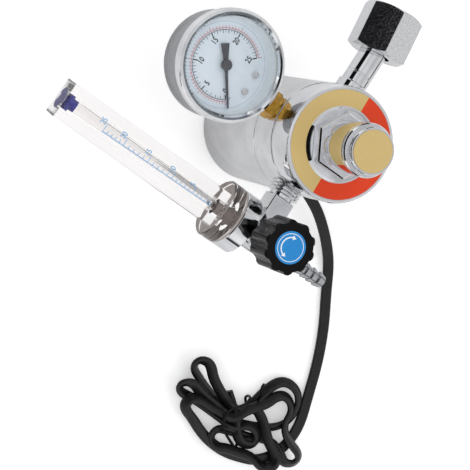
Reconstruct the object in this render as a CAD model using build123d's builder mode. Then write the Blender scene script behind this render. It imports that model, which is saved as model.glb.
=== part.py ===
from build123d import *
import math
import os

os.makedirs("parts", exist_ok=True)

# A heated carbon dioxide regulator with a flow meter, in millimetres.
# The origin is the centre of the heater housing's flat rear face, on which it stands.
# +Z is the body's axis towards the preset cap, +X the bottle side, +Y the flow tube side.

# Fits and clearances
slip = 0.05
bearing = 0.06
contact = 0.05
loose = 0.35

# Body, heater housing and bonnet, stations along Z
body_radius = 32.0
housing_wall = 4.0
housing_length = 74.5
cover_thickness = 4.0
band_length = 23.0
spigot_depth = 6.5
port_offset = 14.0
bonnet_length = 20.0
bonnet_step = 0.3
bonnet_edge = 1.0
bonnet_radius = body_radius - bonnet_step
rim_round = 1.6
seam_cut = 0.4

band_rear = housing_length
band_front = band_rear + band_length
port_z = band_rear + port_offset
face_z = band_front + bonnet_length
housing_bore = body_radius - housing_wall
spigot_radius = housing_bore - slip
spigot_rear = band_rear - spigot_depth

# Rear cover screws and their lugs
screw_count = 3
screw_wall_gap = 3.5
screw_circle = housing_bore - screw_wall_gap
screw_start = 60.0
screw_radius = 1.5
screw_head = 2.9
screw_head_height = 1.4
screw_length = 10.0
screw_slot = 0.9
screw_slot_depth = 0.6
lug_radius = 4.5
lug_length = 9.0

# Heater
heater_gap = 12.0
heater_radius = housing_bore - heater_gap
heater_cut = 1.0
heater_length = 42.0
rod_radius = 5.0
rod_length = 38.0
rod_stand_out = 3.0
rod_offset = 7.5
thermostat_radius = 4.0
thermostat_height = 3.5
thermostat_offset = 11.0

# Cord gland in the housing's side
gland_z = 14.0
gland_angle = -108.0
gland_shank = 4.3
gland_flange = 6.5
gland_flange_thickness = 2.3
gland_sleeve_root = 4.6
gland_sleeve_tip = 3.4
gland_length = 14.0
gland_reach = body_radius + gland_length
gland_shank_length = 3.4
spot_depth = 0.9

# Pressure chamber, valve and low pressure chamber on the body's axis
chamber_radius = 6.0
chamber_front = port_z + 2.5
passage_radius = 2.0
low_chamber_wall = 4.0
low_chamber_depth = 4.0
front_spigot = 6.5
front_spigot_radius = body_radius - housing_wall
low_chamber_radius = front_spigot_radius - low_chamber_wall
plug_length = 7.0
plug_guide_depth = 5.3
seat_radius = 5.0
seat_bore = 1.6
poppet_radius = 4.4
poppet_length = 6.5
poppet_stem_radius = 1.8
poppet_stem_length = 12.0
pin_radius = 1.0
spring_wire = 0.5
spring_radius = 2.9
spring_turns = 4

# Diaphragm, preset spring and cap
diaphragm_thickness = 0.6
plate_radius = 13.0
plate_thickness = 3.0
cavity_wall = 11.7
cavity_radius = bonnet_radius - cavity_wall
bonnet_wall = 7.0
label_margin = 2.2
label_width = 8.8
label_outer = bonnet_radius - label_margin
dish_outer = label_outer - label_width
dish_slope = 2.1
dish_inner = dish_outer - dish_slope
dish_depth = 1.4
label_thickness = 0.3
nut_margin = 0.47
nut_flats = 2 * (dish_inner - nut_margin) * math.cos(math.radians(30))
nut_height = 7.5
nut_turn = 31.0
nut_edge = 1.0
neck_radius = 13.9
neck_thread = 12.5
neck_length = 22.6
neck_bore = 10.9
neck_end_wall = 5.5
neck_spigot = 10.5
neck_spigot_length = 4.6
collar_radius = 14.4
collar_lift = 0.4
collar_height = 3.0
boss_radius = 12.6
boss_height = 4.5
cap_round = 0.8
disc_radius = 11.2
disc_thickness = 0.5
preset_wire = 1.1
preset_radius = 7.6
preset_turns = 5
preset_length = 23.0
button_radius = 9.8
button_thickness = 3.0
adjuster_radius = 4.0
adjuster_length = 15.0
adjuster_socket = 2.0

# Inlet stem and union nut, stations along X
stem_radius = 7.6
stem_thread = 6.5
stem_bore = 2.4
port_depth = 8.0
passage_depth = 8.0
stem_seat = body_radius - port_depth
stem_root = 8.6
stem_root_length = 5.4
stem_ring_from = 10.0
stem_ring_start = body_radius + stem_ring_from
stem_ring_width = 1.0
stem_ring_depth = 0.4
stem_reach = 37.0
nipple_end = body_radius + stem_reach
nipple_flange = 9.4
nipple_flange_length = 3.7
filter_radius = 4.0
filter_length = 7.0
washer_radius = 9.0
washer_bore = 3.6
washer_thickness = 2.0
nut_pivot = nipple_end - 4.0
nut_cock = 7.3
inlet_nut_flats = 30.0
inlet_nut_turn = -9.3
inlet_nut_length = 26.1
nut_behind = 8.0
nut_wall = 6.6
nut_back_bore = 8.8
thread_radius = 10.3
thread_start = 7.5
thread_relief = 0.6
thread_mouth = 1.0
hex_cut = 2.4

# Gauge
gauge_rise = 23.5
gauge_depth = 29.0
case_radius = 28.6
case_wall = 1.2
case_floor = 1.6
case_round = 2.6
bezel_width = 1.4
bezel_lip = 4.2
bezel_depth = 7.0
bezel_crown = 2.0
window_gap = 0.2
window_recess = 1.4
window_thickness = 2.0
dial_gap = 1.0
dial_thickness = 1.0
dial_depth = 11.9
dial_shelf = 1.5
dial_rim_width = 2.4
dial_rim_slope = 1.2
pointer_margin = 3.6
pointer_tail = 11.3
pointer_width = 0.95
pointer_point = 0.4
pointer_tail_width = 4.7
pointer_thickness = 0.5
pointer_gap = 1.1
pointer_hub = 2.9
pointer_hub_height = 1.8
pointer_zero = 128.0
arbor_radius = 0.7
arbor_depth = 8.0
stop_margin = 8.6
stop_lag = 6.0
stop_pin = 0.55
stop_height = 2.0
gauge_collar = 7.0
gauge_collar_length = 1.5
gauge_hex = 14.0
gauge_hex_length = 9.7
gauge_hex_cut = 0.8
gauge_stand_off = 3.1
fitting_thread = 5.2
fitting_neck = 5.6
fitting_depth = 7.0
socket_width = 11.0
socket_height = 12.0
socket_margin = 2.1
socket_length = 8.5
bourdon_margin = 10.6
bourdon_width = 6.0
bourdon_thickness = 2.2
bourdon_round = 0.9
bourdon_rise = 8.0
bourdon_start = -72.5
bourdon_sweep = 250.0
movement_thickness = 2.5
movement_width = 18.0
movement_above = 8.0
movement_overlap = 2.5
movement_corner = 2.0
movement_box_radius = 5.0
movement_box_depth = 6.0
bearing_depth = 5.0
dial_screw_margin = 8.3
dial_screw_angle = 17.0
dial_screw_head = 1.9
dial_screw_shank = 0.9
dial_screw_height = 1.0
dial_screw_depth = 3.0
post_radius = 2.2

fitting_seat = body_radius - fitting_depth
collar_flat = body_radius - spot_depth - 0.5
gauge_front = port_z + gauge_rise
hex_start = collar_flat + gauge_collar_length
hex_end = hex_start + gauge_hex_length
gauge_y = hex_end + gauge_stand_off + case_radius
bezel_radius = case_radius + bezel_width
window_radius = bezel_radius - bezel_lip
window_seat = case_radius - window_gap
dial_radius = case_radius - case_wall - dial_gap
dial_rim = dial_radius - dial_rim_width
pointer_tip = dial_radius - pointer_margin
stop_circle = dial_radius - stop_margin
dial_screw_circle = dial_radius - dial_screw_margin
dial_screw_side = dial_screw_circle * math.sin(math.radians(dial_screw_angle))
dial_screw_drop = dial_screw_circle * math.cos(math.radians(dial_screw_angle))
dial_screw_places = [(dial_screw_side, -dial_screw_drop), (-dial_screw_side, -dial_screw_drop)]
socket_start = case_radius - socket_margin
socket_stop = socket_start - socket_length
bourdon_radius = case_radius - bourdon_margin

# Outlet stem, valve body and flow base
block_gap = 6.2
block_length = 24.3
block_right = -(body_radius + block_gap)
tube_x = block_right - block_length
outlet_thread = 6.5
outlet_seat = body_radius - port_depth
outlet_neck = 6.9
outlet_spigot = 5.0
outlet_spigot_length = 5.0
ring_radius = 9.0
ring_width = 1.4
ring_pitch = 2.1
ring_count = 3
block_width = 13.2
block_height = 13.6
block_edge = 0.6
barrel_radius = 9.3
barrel_below = 13.0
barrel_end = 7.9
valve_boss_radius = 7.8
valve_boss_rise = 9.5
valve_boss_front = port_z + valve_boss_rise
gas_bore = 2.6
base_bottom = 8.0
base_height = 12.0
base_radius = 16.8
base_foot_radius = 12.6
base_bevel = 2.4
base_lip = 0.6
base_spigot = 5.5
base_spigot_length = 3.0

# Flow tube
foot_radius = 16.9
foot_height = 8.6
foot_round = 0.9
seal_thickness = 1.0
seal_radius = 16.4
seal_bore = 6.5
tube_top = 134.5
tube_turn = 8.0
tube_root_width = 20.8
tube_root_depth = 18.4
tube_tip_width = 20.2
tube_tip_depth = 17.6
tube_corner = 1.6
tube_bore_root = 2.8
tube_bore_tip = 4.2
ball_radius = 2.4
seat_insert_radius = 4.6
seat_insert_top = 31.2
seat_insert_orifice = 1.2
plug_radius = 6.1
plug_recess = 4.8
plug_flange = 2.2
plug_boss = 4.4
plug_boss_length = 3.3

# Needle valve and knob, stations along Z
sleeve_radius = 7.6
sleeve_rise = 26.0
sleeve_front = port_z + sleeve_rise
needle_radius = 3.0
needle_tip_radius = 0.6
needle_drop = 2.1
needle_tip_z = port_z - needle_drop
needle_cone = 5.0
needle_rise = 38.5
needle_front = port_z + needle_rise
knob_rise = 23.1
knob_height = 21.4
knob_rear = port_z + knob_rise
knob_front = knob_rear + knob_height
knob_web = 0.3
lobe_round = 1.2
knob_valley = 13.2
knob_lobe = 2.6
knob_lobe_circle = 12.2
knob_lobes = 10
knob_turn = -7.0
knob_rear_radius = 12.4
knob_taper = 3.0
knob_front_radius = 13.8
knob_front_cut = 1.6
knob_skirt = 10.2
knob_skirt_depth = 6.0
knob_label_radius = 8.75
knob_label_thickness = 0.6

# Hose barb, stations down from the flow tube's crossing
barb_thread = 4.5
barb_thread_length = 5.0
barb_hex = 15.0
barb_hex_length = 6.5
barb_shaft = 3.4
barb_ridge = 4.5
barb_bore = 2.1
barb_end = 48.6
barb_ridges = 4
barb_pitch = 4.5
barb_step = 0.5

# Flat two-core cord: its plain tube, and the tied hank that lies beside the body
cord_width = 5.0
cord_floor = cord_width / 2
lead_straight = 12.0
hank_height = 12.0
hank_waist_height = 10.6
hank_underside = 1.2
tie_width = 4.0
tie_wall = 1.4
tie_y = -92.0
waist_span = 80.0


def port_plane(angle, height=port_z):
    """The plane square to a side port's axis, at that angle round the body, from the body's axis."""
    a = math.radians(angle)
    return Plane(origin=(0, 0, height), x_dir=(0, 0, 1), z_dir=(math.cos(a), math.sin(a), 0))


inlet = port_plane(0)
gauge_port = port_plane(90)
outlet = port_plane(180)
gland_port = port_plane(gland_angle, gland_z)
tube_axis = Plane(origin=(tube_x, 0, port_z), x_dir=(1, 0, 0), z_dir=(0, 1, 0))
barb_axis = Plane(origin=(tube_x, 0, port_z), x_dir=(1, 0, 0), z_dir=(0, -1, 0))
tube_angle = math.radians(tube_turn)
tube_square = Plane(
    origin=tube_axis.origin,
    x_dir=(math.cos(tube_angle), 0, math.sin(tube_angle)),
    z_dir=(0, 1, 0),
)
knob_axis = Plane(origin=(tube_x, 0, 0))
gauge_axis = Plane(origin=(0, gauge_y, 0))
nut_angle = math.radians(nut_cock)
nut_axis = Plane(
    origin=(nut_pivot, 0, port_z),
    x_dir=(0, 0, 1),
    z_dir=(math.cos(nut_angle), math.sin(nut_angle), 0),
)


def turn(plane, *outline, mode=Mode.ADD):
    """Turns a half outline of (radius, height) points round the plane's normal."""
    side = Plane(origin=plane.origin, x_dir=plane.x_dir, z_dir=-plane.y_dir)
    with BuildSketch(side) as half:
        with BuildLine():
            Polyline(*outline, close=True)
        make_face()
    revolve(half.sketch, axis=Axis(plane.origin, plane.z_dir), mode=mode)


def rod(plane, radius, start, stop, mode=Mode.ADD):
    """A plain cylinder, or a bore, along the plane's normal."""
    turn(plane, (0, start), (radius, start), (radius, stop), (0, stop), mode=mode)


def ring(plane, inner, outer, start, stop, mode=Mode.ADD):
    """A washer or sleeve along the plane's normal."""
    turn(plane, (inner, start), (outer, start), (outer, stop), (inner, stop), mode=mode)


def hexagon(plane, flats, start, stop, rotation=0.0, cut=0.0):
    """A hexagon bar whose two ends are turned down at their corners by that cut."""
    with BuildSketch(plane.offset(start)) as section:
        RegularPolygon(flats / 2, 6, major_radius=False, rotation=rotation)
    extrude(section.sketch, amount=stop - start)
    corner = flats / 2 / math.cos(math.pi / 6)
    if cut:
        slope = cut * math.tan(math.pi / 6)
        outer = corner + cut
        for end, way in ((start, 1), (stop, -1)):
            turn(
                plane,
                (corner - cut, end),
                (outer, end),
                (outer, end + way * 2 * slope),
                mode=Mode.SUBTRACT,
            )


def save(builder, name):
    builder.part.label = name
    export_step(builder.part, f"parts/{name}.step")


# Heater housing: a turned sleeve with three inner lugs, and a seat for the cord gland
with BuildPart() as heater_housing:
    turn(
        Plane.XY,
        (housing_bore, 0),
        (body_radius - rim_round, 0),
        (body_radius - 0.3 * rim_round, 0.3 * rim_round),
        (body_radius, rim_round),
        (body_radius, housing_length - seam_cut),
        (body_radius - seam_cut, housing_length),
        (housing_bore, housing_length),
    )
    with BuildSketch(Plane.XY.offset(cover_thickness)):
        with PolarLocations(screw_circle, screw_count, start_angle=screw_start):
            Circle(lug_radius)
    extrude(amount=lug_length)
    with BuildSketch(Plane.XY.offset(cover_thickness)):
        with PolarLocations(screw_circle, screw_count, start_angle=screw_start):
            Circle(screw_radius + slip)
    extrude(amount=lug_length, mode=Mode.SUBTRACT)
    gland_seat = body_radius - spot_depth
    rod(gland_port, gland_shank + slip, housing_bore - 2, body_radius + 1, mode=Mode.SUBTRACT)
    rod(gland_port, gland_flange + slip, gland_seat, body_radius + 1, mode=Mode.SUBTRACT)
save(heater_housing, "heater_housing")

# Rear cover: a disc flush with the housing's rim, countersunk for its screws
with BuildPart() as rear_cover:
    rod(Plane.XY, housing_bore - slip, 0, cover_thickness)
    with Locations(Plane(origin=(0, 0, 0), x_dir=(1, 0, 0), z_dir=(0, 0, -1))):
        with PolarLocations(screw_circle, screw_count, start_angle=screw_start):
            CounterSinkHole(screw_radius + slip, screw_head + slip, depth=cover_thickness)
save(rear_cover, "rear_cover")

# Cover screws: three countersunk screws, flush with the cover
with BuildPart() as cover_screws:
    for place in PolarLocations(screw_circle, screw_count, start_angle=screw_start).local_locations:
        screw_axis = Plane(origin=place.position)
        turn(
            screw_axis,
            (0, screw_slot_depth),
            (screw_slot, screw_slot_depth),
            (screw_slot, 0),
            (screw_head, 0),
            (screw_radius, screw_head_height),
            (screw_radius, screw_length),
            (0, screw_length),
        )
save(cover_screws, "cover_screws")

# Heater block: drilled aluminium, seated on the body's rear spigot
heater_rear = spigot_rear - heater_length
with BuildPart() as heater_block:
    rod(Plane.XY, heater_radius, heater_rear, spigot_rear)
    with BuildSketch(Plane.XY.offset(heater_rear)):
        with Locations((rod_offset, 0), (-rod_offset, 0)):
            Circle(rod_radius + slip)
    extrude(amount=rod_length - rod_stand_out, mode=Mode.SUBTRACT)
    chamfer(heater_block.edges().group_by(Axis.Z)[0].sort_by(SortBy.RADIUS)[-1], heater_cut)
save(heater_block, "heater_block")

# Heating rods: two cartridge heaters in the block
with BuildPart() as heating_rods:
    with BuildSketch(Plane.XY.offset(heater_rear - rod_stand_out)):
        with Locations((rod_offset, 0), (-rod_offset, 0)):
            Circle(rod_radius)
    extrude(amount=rod_length)
save(heating_rods, "heating_rods")

# Thermostat: a small disc switch on the block's rear face
with BuildPart() as thermostat:
    thermostat_axis = Plane(origin=(0, -thermostat_offset, 0))
    rod(thermostat_axis, thermostat_radius, heater_rear - thermostat_height, heater_rear)
save(thermostat, "thermostat")

# Regulator body: the forged middle band, with both spigots, its ports and its chambers
diaphragm_z = band_front + front_spigot
low_floor = diaphragm_z - low_chamber_depth
with BuildPart() as regulator_body:
    turn(
        Plane.XY,
        (0, spigot_rear),
        (spigot_radius, spigot_rear),
        (spigot_radius, band_rear),
        (body_radius - seam_cut, band_rear),
        (body_radius, band_rear + seam_cut),
        (body_radius, band_front - seam_cut),
        (body_radius - seam_cut, band_front),
        (front_spigot_radius, band_front),
        (front_spigot_radius, diaphragm_z),
        (0, diaphragm_z),
    )
    rod(Plane.XY, low_chamber_radius, low_floor, diaphragm_z, mode=Mode.SUBTRACT)
    rod(Plane.XY, chamber_radius, spigot_rear, chamber_front, mode=Mode.SUBTRACT)
    rod(Plane.XY, seat_radius + slip, chamber_front, low_floor, mode=Mode.SUBTRACT)
    rod(inlet, passage_radius, chamber_radius - 1, stem_seat, mode=Mode.SUBTRACT)
    rod(inlet, stem_thread + slip, stem_seat, body_radius + 1, mode=Mode.SUBTRACT)
    rod(inlet, stem_root + slip, collar_flat, body_radius + 1, mode=Mode.SUBTRACT)
    rod(gauge_port, passage_radius, chamber_radius - 1, fitting_seat, mode=Mode.SUBTRACT)
    rod(gauge_port, fitting_thread + slip, fitting_seat, body_radius + 1, mode=Mode.SUBTRACT)
    rod(gauge_port, gauge_collar + slip, collar_flat, body_radius + 1, mode=Mode.SUBTRACT)
    rod(outlet, passage_radius, outlet_seat - passage_depth, outlet_seat, mode=Mode.SUBTRACT)
    rod(outlet, outlet_thread + slip, outlet_seat, body_radius + 1, mode=Mode.SUBTRACT)
    rod(outlet, ring_radius + slip, collar_flat, body_radius + 1, mode=Mode.SUBTRACT)
    riser = Plane(origin=(-(outlet_seat - passage_depth), 0, 0))
    rod(riser, passage_radius, port_z, low_floor + 1, mode=Mode.SUBTRACT)
save(regulator_body, "regulator_body")

# Chamber plug: closes the high pressure chamber behind, and guides the poppet's stem
plug_front = spigot_rear + plug_length
with BuildPart() as chamber_plug:
    rod(Plane.XY, chamber_radius - slip, spigot_rear, plug_front)
    rod(Plane.XY, poppet_stem_radius + bearing, plug_front - plug_guide_depth, plug_front, mode=Mode.SUBTRACT)
save(chamber_plug, "chamber_plug")

# Valve seat: a bored insert between the two chambers
with BuildPart() as valve_seat:
    ring(Plane.XY, seat_bore, seat_radius, chamber_front, low_floor)
save(valve_seat, "valve_seat")

# Poppet: closes against the seat, with a pin up to the diaphragm and a guided stem below
poppet_top = chamber_front - contact
poppet_bottom = poppet_top - poppet_length
with BuildPart() as poppet:
    turn(
        Plane.XY,
        (0, poppet_bottom - poppet_stem_length),
        (poppet_stem_radius, poppet_bottom - poppet_stem_length),
        (poppet_stem_radius, poppet_bottom),
        (poppet_radius, poppet_bottom),
        (poppet_radius, poppet_top - 1.5),
        (poppet_radius - 1.5, poppet_top),
        (pin_radius, poppet_top),
        (pin_radius, diaphragm_z - contact),
        (0, diaphragm_z - contact),
    )
save(poppet, "poppet")


def spring(wire, radius, start, stop, turns, name):
    """An open coil spring round the Z axis, between two flat seats."""
    rise = stop - start - 2 * wire
    with BuildPart() as coil:
        with BuildLine() as path:
            Helix(pitch=rise / turns, height=rise, radius=radius, center=(0, 0, start + wire))
        with BuildSketch(Plane(origin=path.line @ 0, z_dir=path.line % 0)):
            Circle(wire)
        sweep(is_frenet=True)
    save(coil, name)
    return coil


# Poppet spring, between the plug and the poppet
poppet_spring = spring(
    spring_wire, spring_radius, plug_front + contact, poppet_bottom - contact, spring_turns, "poppet_spring"
)

# Diaphragm: a thin disc clamped between the body's spigot and the bonnet
with BuildPart() as diaphragm:
    rod(Plane.XY, front_spigot_radius, diaphragm_z, diaphragm_z + diaphragm_thickness)
save(diaphragm, "diaphragm")

# Diaphragm plate: spreads the preset spring's load
plate_bottom = diaphragm_z + diaphragm_thickness + contact
plate_top = plate_bottom + plate_thickness
with BuildPart() as diaphragm_plate:
    turn(
        Plane.XY,
        (0, plate_bottom),
        (plate_radius, plate_bottom),
        (plate_radius, plate_top - 1),
        (plate_radius - 1, plate_top),
        (0, plate_top),
    )
save(diaphragm_plate, "diaphragm_plate")

# Bonnet: the front flange, screwed over the body's spigot, with a shallow dish in its face
cavity_front = face_z - bonnet_wall
shoulder = diaphragm_z + diaphragm_thickness
with BuildPart() as bonnet:
    turn(
        Plane.XY,
        (front_spigot_radius + slip, band_front),
        (bonnet_radius - bonnet_edge, band_front),
        (bonnet_radius, band_front + bonnet_edge),
        (bonnet_radius, face_z - rim_round),
        (bonnet_radius - 0.3 * rim_round, face_z - 0.3 * rim_round),
        (bonnet_radius - rim_round, face_z),
        (label_outer + slip, face_z),
        (label_outer + slip, face_z - label_thickness),
        (dish_outer, face_z - label_thickness),
        (dish_inner, face_z - dish_depth),
        (neck_thread + slip, face_z - dish_depth),
        (neck_thread + slip, cavity_front),
        (cavity_radius, cavity_front),
        (cavity_radius, shoulder),
        (front_spigot_radius + slip, shoulder),
    )
save(bonnet, "bonnet")

# Front label: the printed ring on the bonnet's face
with BuildPart() as front_label:
    ring(Plane.XY, dish_outer, label_outer, face_z - label_thickness, face_z)
save(front_label, "front_label")

# Bonnet nut: a hexagon with a long neck that holds the preset spring
nut_seat = face_z - dish_depth
nut_front = nut_seat + nut_height
neck_front = nut_front + neck_length
spigot_front = neck_front + neck_spigot_length
with BuildPart() as bonnet_nut:
    with BuildSketch(Plane.XY.offset(nut_seat)):
        RegularPolygon(nut_flats / 2, 6, major_radius=False, rotation=nut_turn)
    extrude(amount=nut_height)
    chamfer(bonnet_nut.faces().sort_by(Axis.Z)[-1].edges(), nut_edge)
    rod(Plane.XY, neck_thread, cavity_front, nut_seat)
    turn(
        Plane.XY,
        (0, nut_seat),
        (neck_radius, nut_seat),
        (neck_radius, neck_front - 0.8),
        (neck_radius - 0.8, neck_front),
        (neck_spigot, neck_front),
        (neck_spigot, spigot_front),
        (0, spigot_front),
    )
    rod(Plane.XY, neck_bore, cavity_front, neck_front - neck_end_wall, mode=Mode.SUBTRACT)
    rod(Plane.XY, adjuster_radius + slip, neck_front - neck_end_wall, spigot_front, mode=Mode.SUBTRACT)
save(bonnet_nut, "bonnet_nut")

# Preset spring, its button and the adjusting screw inside the neck
spring_top = plate_top + preset_length
preset_spring = spring(
    preset_wire, preset_radius, plate_top + contact, spring_top - contact, preset_turns, "preset_spring"
)
with BuildPart() as spring_button:
    turn(
        Plane.XY,
        (0, spring_top),
        (button_radius, spring_top),
        (button_radius, spring_top + button_thickness - 1),
        (button_radius - 1, spring_top + button_thickness),
        (0, spring_top + button_thickness),
    )
save(spring_button, "spring_button")

with BuildPart() as adjusting_screw:
    adjuster_start = spring_top + button_thickness
    rod(Plane.XY, adjuster_radius, adjuster_start, adjuster_start + adjuster_length)
    with BuildSketch(Plane.XY.offset(adjuster_start + adjuster_length)):
        RegularPolygon(adjuster_socket, 6)
    extrude(amount=-3, mode=Mode.SUBTRACT)
save(adjusting_screw, "adjusting_screw")

# Cap: a turned collar and boss over the neck's end
collar_rear = neck_front + collar_lift
collar_front = collar_rear + collar_height
cap_front = collar_front + boss_height
with BuildPart() as preset_cap:
    turn(
        Plane.XY,
        (neck_spigot + slip, collar_rear),
        (collar_radius - cap_round, collar_rear),
        (collar_radius, collar_rear + cap_round),
        (collar_radius, collar_front - cap_round),
        (collar_radius - cap_round, collar_front),
        (boss_radius, collar_front),
        (boss_radius, cap_front - 0.5),
        (boss_radius - 0.5, cap_front),
        (0, cap_front),
        (0, spigot_front),
        (neck_spigot + slip, spigot_front),
    )
save(preset_cap, "preset_cap")

# Cap disc: the flat plate on the cap's end
with BuildPart() as cap_disc:
    rod(Plane.XY, disc_radius, cap_front, cap_front + disc_thickness)
save(cap_disc, "cap_disc")

# Inlet stem: a turned nipple with a root collar and an end flange that holds the union nut
flange_rear = nipple_end - nipple_flange_length
filter_seat = nipple_end - filter_length - 0.4
with BuildPart() as inlet_stem:
    turn(
        inlet,
        (stem_bore, stem_seat),
        (stem_thread, stem_seat),
        (stem_thread, collar_flat),
        (stem_root, collar_flat),
        (stem_root, collar_flat + stem_root_length),
        (stem_radius, collar_flat + stem_root_length + 0.8),
        (stem_radius, stem_ring_start),
        (stem_radius - stem_ring_depth, stem_ring_start),
        (stem_radius - stem_ring_depth, stem_ring_start + stem_ring_width),
        (stem_radius, stem_ring_start + stem_ring_width),
        (stem_radius, flange_rear),
        (nipple_flange - 0.4, flange_rear),
        (nipple_flange, flange_rear + 0.4),
        (nipple_flange, nipple_end - 0.4),
        (nipple_flange - 0.4, nipple_end),
        (filter_radius + slip, nipple_end),
        (filter_radius + slip, filter_seat),
        (stem_bore, filter_seat),
    )
save(inlet_stem, "inlet_stem")

# Inlet filter: a sintered plug in the nipple's mouth
with BuildPart() as inlet_filter:
    rod(inlet, filter_radius, filter_seat, filter_seat + filter_length)
save(inlet_filter, "inlet_filter")

# Inlet washer: the sealing ring against the nipple's face
with BuildPart() as inlet_washer:
    ring(inlet, washer_bore, washer_radius, nipple_end, nipple_end + washer_thickness)
save(inlet_washer, "inlet_washer")

# Union nut: a loose hexagon that hangs slightly askew on the stem
nut_mouth = inlet_nut_length - nut_behind
with BuildPart() as inlet_nut:
    hexagon(
        nut_axis, inlet_nut_flats, -nut_behind, nut_mouth, rotation=inlet_nut_turn, cut=hex_cut
    )
    rod(nut_axis, nut_back_bore, -nut_behind, nut_mouth, mode=Mode.SUBTRACT)
    turn(
        nut_axis,
        (0, nut_wall - nut_behind),
        (thread_radius + thread_relief, nut_wall - nut_behind),
        (thread_radius + thread_relief, thread_start - thread_relief),
        (thread_radius, thread_start),
        (thread_radius, nut_mouth - thread_mouth),
        (thread_radius + thread_mouth, nut_mouth),
        (0, nut_mouth),
        mode=Mode.SUBTRACT,
    )
save(inlet_nut, "inlet_nut")

# Gauge fitting: a brass hexagon between the body and the gauge, with the tube's socket inside
case_rear = gauge_front - gauge_depth
socket_front = case_rear + socket_height
with BuildPart() as gauge_fitting:
    rod(gauge_port, fitting_thread, fitting_seat, collar_flat)
    rod(gauge_port, gauge_collar, collar_flat, hex_start)
    hexagon(gauge_port, gauge_hex, hex_start, hex_end, rotation=15.0, cut=gauge_hex_cut)
    rod(gauge_port, fitting_neck, hex_end, gauge_y - socket_start)
    socket_rear = case_rear + case_floor + slip
    with BuildSketch(Plane.XY.offset(socket_rear)):
        with Locations((0, gauge_y - (socket_start + socket_stop) / 2)):
            Rectangle(socket_width, socket_start - socket_stop)
    extrude(amount=socket_front - socket_rear)
    rod(gauge_port, passage_radius, fitting_seat, gauge_y - socket_stop - 2, mode=Mode.SUBTRACT)
save(gauge_fitting, "gauge_fitting")

# Gauge case: a drawn cup with a shelf for the dial
dial_front = gauge_front - dial_depth
dial_rear = dial_front - dial_thickness
window_front = gauge_front - window_recess
window_rear = window_front - window_thickness
case_bore = case_radius - case_wall
with BuildPart() as gauge_case:
    turn(
        gauge_axis,
        (0, case_rear),
        (case_radius - case_round, case_rear),
        (case_radius - 0.3 * case_round, case_rear + 0.3 * case_round),
        (case_radius, case_rear + case_round),
        (case_radius, window_rear),
        (case_bore, window_rear),
        (case_bore, dial_rear),
        (dial_radius - 1.2, dial_rear),
        (dial_radius - 1.2, dial_rear - dial_shelf),
        (case_bore, dial_rear - 2 * dial_shelf),
        (case_bore, case_rear + case_floor),
        (0, case_rear + case_floor),
    )
    rod(gauge_port, fitting_neck + slip, gauge_y - case_radius - 1, gauge_y - socket_start, mode=Mode.SUBTRACT)
save(gauge_case, "gauge_case")

# Gauge bezel: the rolled ring that holds the window
bezel_rear = gauge_front - bezel_depth
with BuildPart() as gauge_bezel:
    turn(
        gauge_axis,
        (case_radius + slip, bezel_rear),
        (bezel_radius - 0.4, bezel_rear),
        (bezel_radius, bezel_rear + 0.4),
        (bezel_radius, gauge_front - bezel_crown),
        (bezel_radius - 0.3 * bezel_crown, gauge_front - 0.3 * bezel_crown),
        (bezel_radius - bezel_crown, gauge_front),
        (window_radius + 1.0, gauge_front - 0.2),
        (window_radius, window_front),
        (case_radius + slip, window_front),
    )
save(gauge_bezel, "gauge_bezel")

# Gauge window: a flat clear disc
with BuildPart() as gauge_window:
    rod(gauge_axis, window_seat, window_rear, window_front)
save(gauge_window, "gauge_window")

# Gauge dial, with the pin that the pointer rests beside
with BuildPart() as gauge_dial:
    ring(gauge_axis, arbor_radius + 0.5, dial_radius, dial_rear, dial_front)
    with BuildSketch(Plane.XY.offset(dial_rear)):
        with Locations(*[(x, gauge_y + y) for x, y in dial_screw_places]):
            Circle(dial_screw_shank + slip)
    extrude(amount=dial_thickness, mode=Mode.SUBTRACT)
    stop_angle = math.radians(90 + pointer_zero + stop_lag)
    stop_place = (stop_circle * math.cos(stop_angle), gauge_y + stop_circle * math.sin(stop_angle))
    rod(Plane(origin=(*stop_place, 0)), stop_pin, dial_front, dial_front + stop_height)
save(gauge_dial, "gauge_dial")

# Dial ring: the sloped spacer that holds the dial down and stands under the window
with BuildPart() as dial_ring:
    turn(
        gauge_axis,
        (dial_rim, dial_front),
        (dial_rim + dial_rim_slope, window_rear),
        (dial_radius, window_rear),
        (dial_radius, dial_front),
    )
save(dial_ring, "dial_ring")

# Dial screws
with BuildPart() as dial_screws:
    for x, y in dial_screw_places:
        screw_axis = Plane(origin=(x, gauge_y + y, 0))
        rod(screw_axis, dial_screw_shank, dial_rear - dial_screw_depth, dial_front)
        rod(screw_axis, dial_screw_head, dial_front, dial_front + dial_screw_height)
save(dial_screws, "dial_screws")

# Gauge movement: a plate on the socket, with posts for the dial and a bearing for the arbor
movement_below = socket_start - movement_overlap
with BuildPart() as gauge_movement:
    with BuildSketch(Plane.XY.offset(socket_front)):
        with Locations((0, gauge_y + (movement_above - movement_below) / 2)):
            RectangleRounded(movement_width, movement_above + movement_below, movement_corner)
    extrude(amount=movement_thickness)
    with BuildSketch(Plane.XY.offset(socket_front)):
        with Locations(*[(x, gauge_y + y) for x, y in dial_screw_places]):
            Circle(post_radius)
    extrude(amount=dial_rear - socket_front)
    with BuildSketch(Plane.XY.offset(dial_rear - dial_screw_depth)):
        with Locations(*[(x, gauge_y + y) for x, y in dial_screw_places]):
            Circle(dial_screw_shank + slip)
    extrude(amount=dial_screw_depth, mode=Mode.SUBTRACT)
    rod(gauge_axis, movement_box_radius, socket_front - movement_box_depth, socket_front)
    bearing_end = socket_front + movement_thickness
    rod(gauge_axis, arbor_radius + bearing, socket_front - bearing_depth, bearing_end, mode=Mode.SUBTRACT)
save(gauge_movement, "gauge_movement")

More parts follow.
